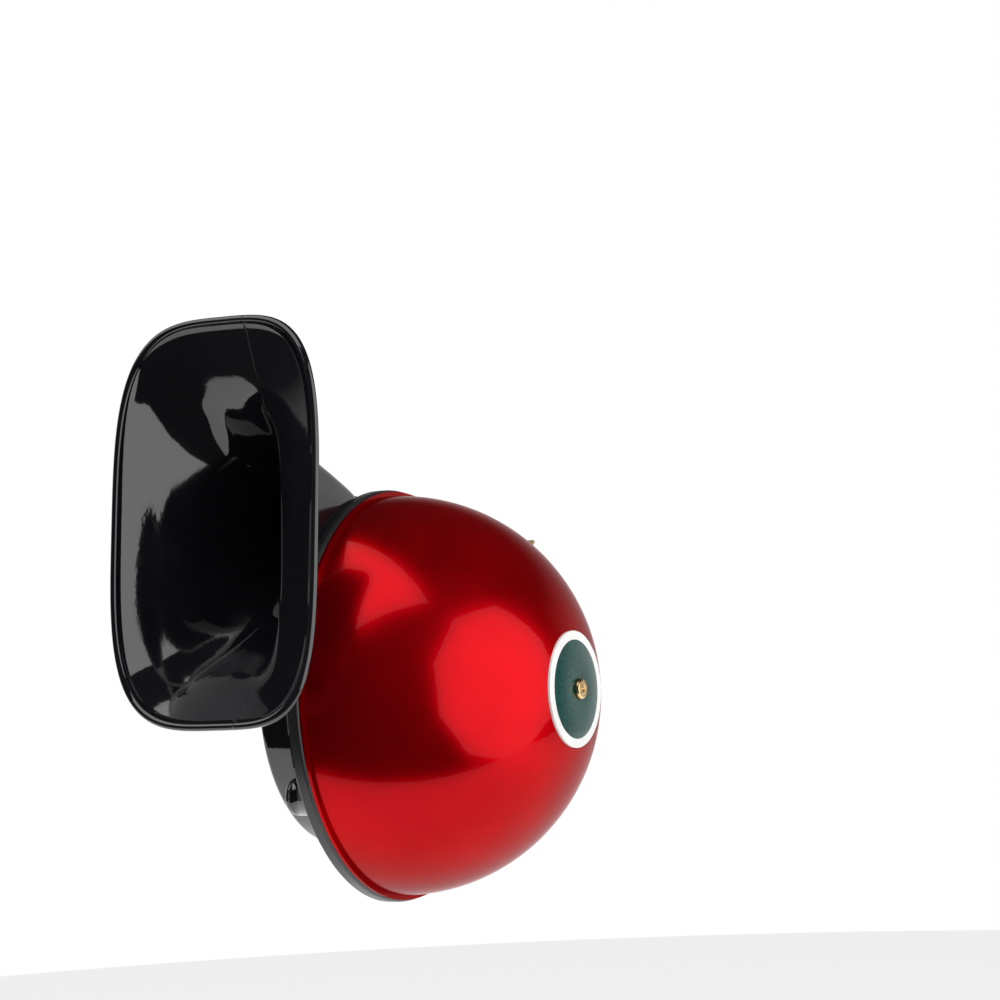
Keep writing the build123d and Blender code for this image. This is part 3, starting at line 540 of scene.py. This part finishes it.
def trumpet_half(node_name, keep_cover):
    """A moulded half: its solid without the plain bell, and its side of the finer bell."""
    shape = solid_copy(node_name)
    for y in (CUT_Y, -FLANGE_R - ON_FLANGE_EDGE):
        cut(shape, (0.0, (AXIS_Y + y) * MM, 0.0), (0.0, 1.0, 0.0))
    plain = [face for face in shape.faces if all(on_plain_bell(corner) for corner in face.verts)]
    bmesh.ops.delete(shape, geom=plain, context="FACES")
    bell = bmesh.new()
    add_bell(bell)
    start = Vector((RIM_X - NECK_SEAM_H, AXIS_Y + CUT_Y, 0.0)) * MM
    end = Vector((RIM_X - MOUTH_SEAM_H, AXIS_Y + MOUTH_Y, 0.0)) * MM
    to_spiral = (end - start).cross(Vector((0.0, 0.0, 1.0)))
    cut(bell, start, to_spiral, clear_outer=not keep_cover, clear_inner=keep_cover)
    join(shape, bell)
    return shape


DRUM_IN_R = 26.0
DRUM_R = 40.0
DRUM_LOW = 4.0
DRUM_TOP = 21.6
DRUM_ROUND = 1.6
DRUM_ROUND_STEPS = 5
DRUM_FROM = 128
DRUM_SWEEP = 130
DRUM_STEPS = 96


def add_drum(shape):
    """The shoulder that stands round the spiral on the side away from the bell."""
    drum = bmesh.new()
    corners = [(DRUM_IN_R, DRUM_LOW), (DRUM_R, DRUM_LOW), (DRUM_R, DRUM_TOP), (DRUM_IN_R, DRUM_TOP)]
    made = [drum.verts.new(((RIM_X - h) * MM, 0.0, r * MM)) for r, h in corners]
    drum.faces.new(made)
    outer_top = made[2]
    bmesh.ops.bevel(
        drum, geom=[outer_top], affect="VERTICES", offset=DRUM_ROUND * MM,
        segments=DRUM_ROUND_STEPS, profile=0.5, material=-1,
    )
    start = Matrix.Rotation(math.radians(DRUM_FROM - 90), 3, "X")
    bmesh.ops.rotate(drum, cent=(0, 0, 0), matrix=start, verts=drum.verts[:])
    bmesh.ops.spin(
        drum, geom=whole(drum), cent=(0, 0, 0), axis=(1, 0, 0), angle=math.radians(DRUM_SWEEP),
        steps=DRUM_STEPS, use_duplicate=False,
    )
    bmesh.ops.translate(drum, verts=drum.verts[:], vec=(0.0, AXIS_Y * MM, 0.0))
    bmesh.ops.recalc_face_normals(drum, faces=drum.faces[:])
    join(shape, drum)


cover = trumpet_half("trumpet_cover", keep_cover=True)
add_drum(cover)
finished(cover, "trumpet_cover_moulding", "trumpet_plastic", "trumpet_cover")
base = trumpet_half("trumpet_base", keep_cover=False)
finished(base, "trumpet_base_moulding", "trumpet_plastic", "trumpet_base")

# --- the screw that ends in the bell, no longer than its boss needs ------------------------------
screws = solid_copy("rim_screws_long")
screw_y, screw_z = AXIS_Y + MOUTH_SCREW[0], MOUTH_SCREW[1]
tip = [
    corner for corner in screws.verts
    if math.hypot(corner.co.y / MM - screw_y, corner.co.z / MM - screw_z) < BOSS_R
    and RIM_X - corner.co.x / MM > FLANGE_TOP
]
bmesh.ops.translate(screws, verts=tip, vec=(MOUTH_SCREW_CUT * MM, 0.0, 0.0))
finished(screws, "rim_screws_with_short_tip", "zinc", "rim_screws_long")

# --- the badge's screw, with a head as small as a badge needs ------------------------------------
SCREW_SHARE = 0.72
SCREW_ROOM_R = 4.2
for node_name, piece_name, slot in (
    ("dome_screw", "badge_screw", "brass"), ("badge_field", "badge_face", "badge_enamel"),
):
    slim = solid_copy(node_name)
    near = [
        corner for corner in slim.verts
        if math.hypot(corner.co.y / MM - AXIS_Y, corner.co.z / MM) < SCREW_ROOM_R
    ]
    bmesh.ops.scale(
        slim, vec=(1.0, SCREW_SHARE, SCREW_SHARE), verts=near,
        space=Matrix.Translation(-DOME_CENTRE),
    )
    finished(slim, piece_name, slot, node_name, sharp=30.0)


# --- studio: a pale floor well below, softboxes and a white surround -----------------------------
AZIMUTH, ELEVATION, ROLL = (math.radians(angle) for angle in (26.8, -1.8, -2.75))
BACK = Vector((
    math.sin(AZIMUTH) * math.cos(ELEVATION),
    -math.cos(AZIMUTH) * math.cos(ELEVATION),
    math.sin(ELEVATION),
))
LEVEL = Vector((math.cos(AZIMUTH), math.sin(AZIMUTH), 0.0))
RISE = BACK.cross(LEVEL)
RIGHT = LEVEL * math.cos(ROLL) + RISE * math.sin(ROLL)
UP = RISE * math.cos(ROLL) - LEVEL * math.sin(ROLL)
VIEW_WIDTH_PX = 1000
PX_PER_MM = 3.687
VIEW_ACROSS = VIEW_WIDTH_PX / PX_PER_MM * MM
CAMERA_REACH = 876 * MM
VIEW_CENTRE = (26.58 * MM, 52.89 * MM)
SENSOR_MM = 36.0


def seen_from_camera(right, up, back):
    """A place given by the camera's directions, from the rim's middle."""
    return DOME_CENTRE + RIGHT * right + UP * up + BACK * back


camera = bpy.data.objects.new("camera", bpy.data.cameras.new("camera"))
bpy.context.scene.collection.objects.link(camera)
camera.data.sensor_width = SENSOR_MM
camera.data.lens = SENSOR_MM * CAMERA_REACH / VIEW_ACROSS
camera.data.clip_start = 0.01
camera.data.clip_end = 20.0
camera.matrix_world = Matrix.LocRotScale(
    seen_from_camera(*VIEW_CENTRE, CAMERA_REACH), Matrix((RIGHT, UP, BACK)).transposed(), None
)
bpy.context.scene.camera = camera


def lit_panel(name, corners, strength):
    """A softbox front: a flat panel that shines, unseen by the camera."""
    mesh = bpy.data.meshes.new(name)
    shape = bmesh.new()
    shape.faces.new([shape.verts.new(corner) for corner in corners])
    bmesh.ops.recalc_face_normals(shape, faces=shape.faces[:])
    shape.to_mesh(mesh)
    shape.free()
    panel = bpy.data.objects.new(name, mesh)
    bpy.context.scene.collection.objects.link(panel)
    panel.visible_camera = False
    panel.visible_shadow = False
    glow = bpy.data.materials.new(name)
    glow.use_nodes = True
    tree = glow.node_tree
    tree.nodes.remove(tree.nodes["Principled BSDF"])
    light = node(tree, "Emission", _Strength=strength)
    wire(tree, light.outputs["Emission"], tree.nodes["Material Output"].inputs["Surface"])
    mesh.materials.append(glow)
    return panel


def octagon(direction, reach, radius):
    """Corners of an eight-sided softbox that faces the dome."""
    middle = seen_from_camera(*(d * reach for d in direction))
    facing = (DOME_CENTRE - middle).normalized()
    side = facing.cross(UP).normalized()
    rise = side.cross(facing)
    angles = [math.radians(22.5 + 45 * n) for n in range(8)]
    return [middle + (side * math.cos(a) + rise * math.sin(a)) * radius for a in angles]


# places in metres along the camera's right, up and back
SOFTBOX_STRENGTH = 2.4
DOME_BOX_WAY = (0.80, 0.13, 0.50)
DOME_BOX_REACH = 0.85
DOME_BOX_R = 0.66
dome_box = octagon(DOME_BOX_WAY, DOME_BOX_REACH, DOME_BOX_R)
lit_panel("eight_sided_softbox", dome_box, SOFTBOX_STRENGTH)
lit_panel(
    "overhead_softbox",
    [
        seen_from_camera(-0.36, 0.80, -0.36),
        seen_from_camera(0.197, 0.656, 0.431),
        seen_from_camera(-0.509, 0.327, 0.525),
        seen_from_camera(-1.066, 0.471, -0.266),
    ],
    SOFTBOX_STRENGTH,
)

FLOOR_R = 1.25
FLOOR_BACK = 0.95
FLOOR_LOW = -0.30
FLOOR_SEEN = 0.5  # its own light, as the camera sees it and as it shows in glossy faces
FLOOR_MIRRORED = 0.75
floor_mesh = bpy.data.meshes.new("floor")
floor_shape = bmesh.new()
bmesh.ops.create_circle(floor_shape, cap_ends=True, segments=96, radius=FLOOR_R)
bmesh.ops.translate(
    floor_shape, verts=floor_shape.verts[:],
    vec=Vector((0.0, AXIS_Y * MM, FLOOR_LOW)) - LEVEL.cross(Vector((0.0, 0.0, 1.0))) * FLOOR_BACK,
)
floor_shape.to_mesh(floor_mesh)
floor_shape.free()
floor = bpy.data.objects.new("floor", floor_mesh)
bpy.context.scene.collection.objects.link(floor)
paper = bpy.data.materials.new("pale_paper")
paper.use_nodes = True
paper_tree = paper.node_tree
paper_shader = paper_tree.nodes["Principled BSDF"]
paper_shader.inputs["Base Color"].default_value = (0.85, 0.85, 0.85, 1.0)
paper_shader.inputs["Roughness"].default_value = 0.9
paper_shader.inputs["Emission Color"].default_value = (1.0, 1.0, 1.0, 1.0)
seen = node(paper_tree, "LightPath")
camera_share = combine(paper_tree, "MULTIPLY", seen.outputs["Is Camera Ray"], FLOOR_SEEN)
glossy_share = combine(paper_tree, "MULTIPLY", seen.outputs["Is Glossy Ray"], FLOOR_MIRRORED)
wire(
    paper_tree,
    combine(paper_tree, "MAXIMUM", camera_share, glossy_share),
    paper_shader.inputs["Emission Strength"],
)
floor_mesh.materials.append(paper)

# the surround: white to the camera; in glossy faces it shines from behind the horn, less overhead
WALL_SHINE = 0.75
LEAST_SHINE = 0.04
FILL_LIGHT = 0.4
world = bpy.data.worlds.new("surround")
bpy.context.scene.world = world
world.use_nodes = True
sky = world.node_tree
surround = sky.nodes["Background"]
surround.inputs["Color"].default_value = (1.0, 1.0, 1.0, 1.0)
ray = node(sky, "LightPath")
place = node(sky, "TexCoord").outputs["Generated"]
direction = node(sky, "SeparateXYZ")
wire(sky, place, direction.inputs["Vector"])
away = node(sky, "VectorMath", operation="DOT_PRODUCT")
away.inputs[1].default_value = -BACK
wire(sky, place, away.inputs[0])
behind = spread(sky, away.outputs["Value"], 0.18, 0.62, 0.0, WALL_SHINE)
level = spread(sky, direction.outputs["Z"], 0.6, 0.1)
behind = combine(sky, "MULTIPLY", behind, level)
through = combine(sky, "MAXIMUM", ray.outputs["Is Camera Ray"], ray.outputs["Is Transmission Ray"])
behind = combine(sky, "MAXIMUM", behind, LEAST_SHINE)
glossy = combine(sky, "MULTIPLY", ray.outputs["Is Glossy Ray"], behind)
diffuse = combine(sky, "MULTIPLY", ray.outputs["Is Diffuse Ray"], FILL_LIGHT)
strongest = combine(sky, "MAXIMUM", combine(sky, "MAXIMUM", through, glossy), diffuse)
wire(sky, strongest, surround.inputs["Strength"])

bpy.context.scene.view_settings.view_transform = "Standard"
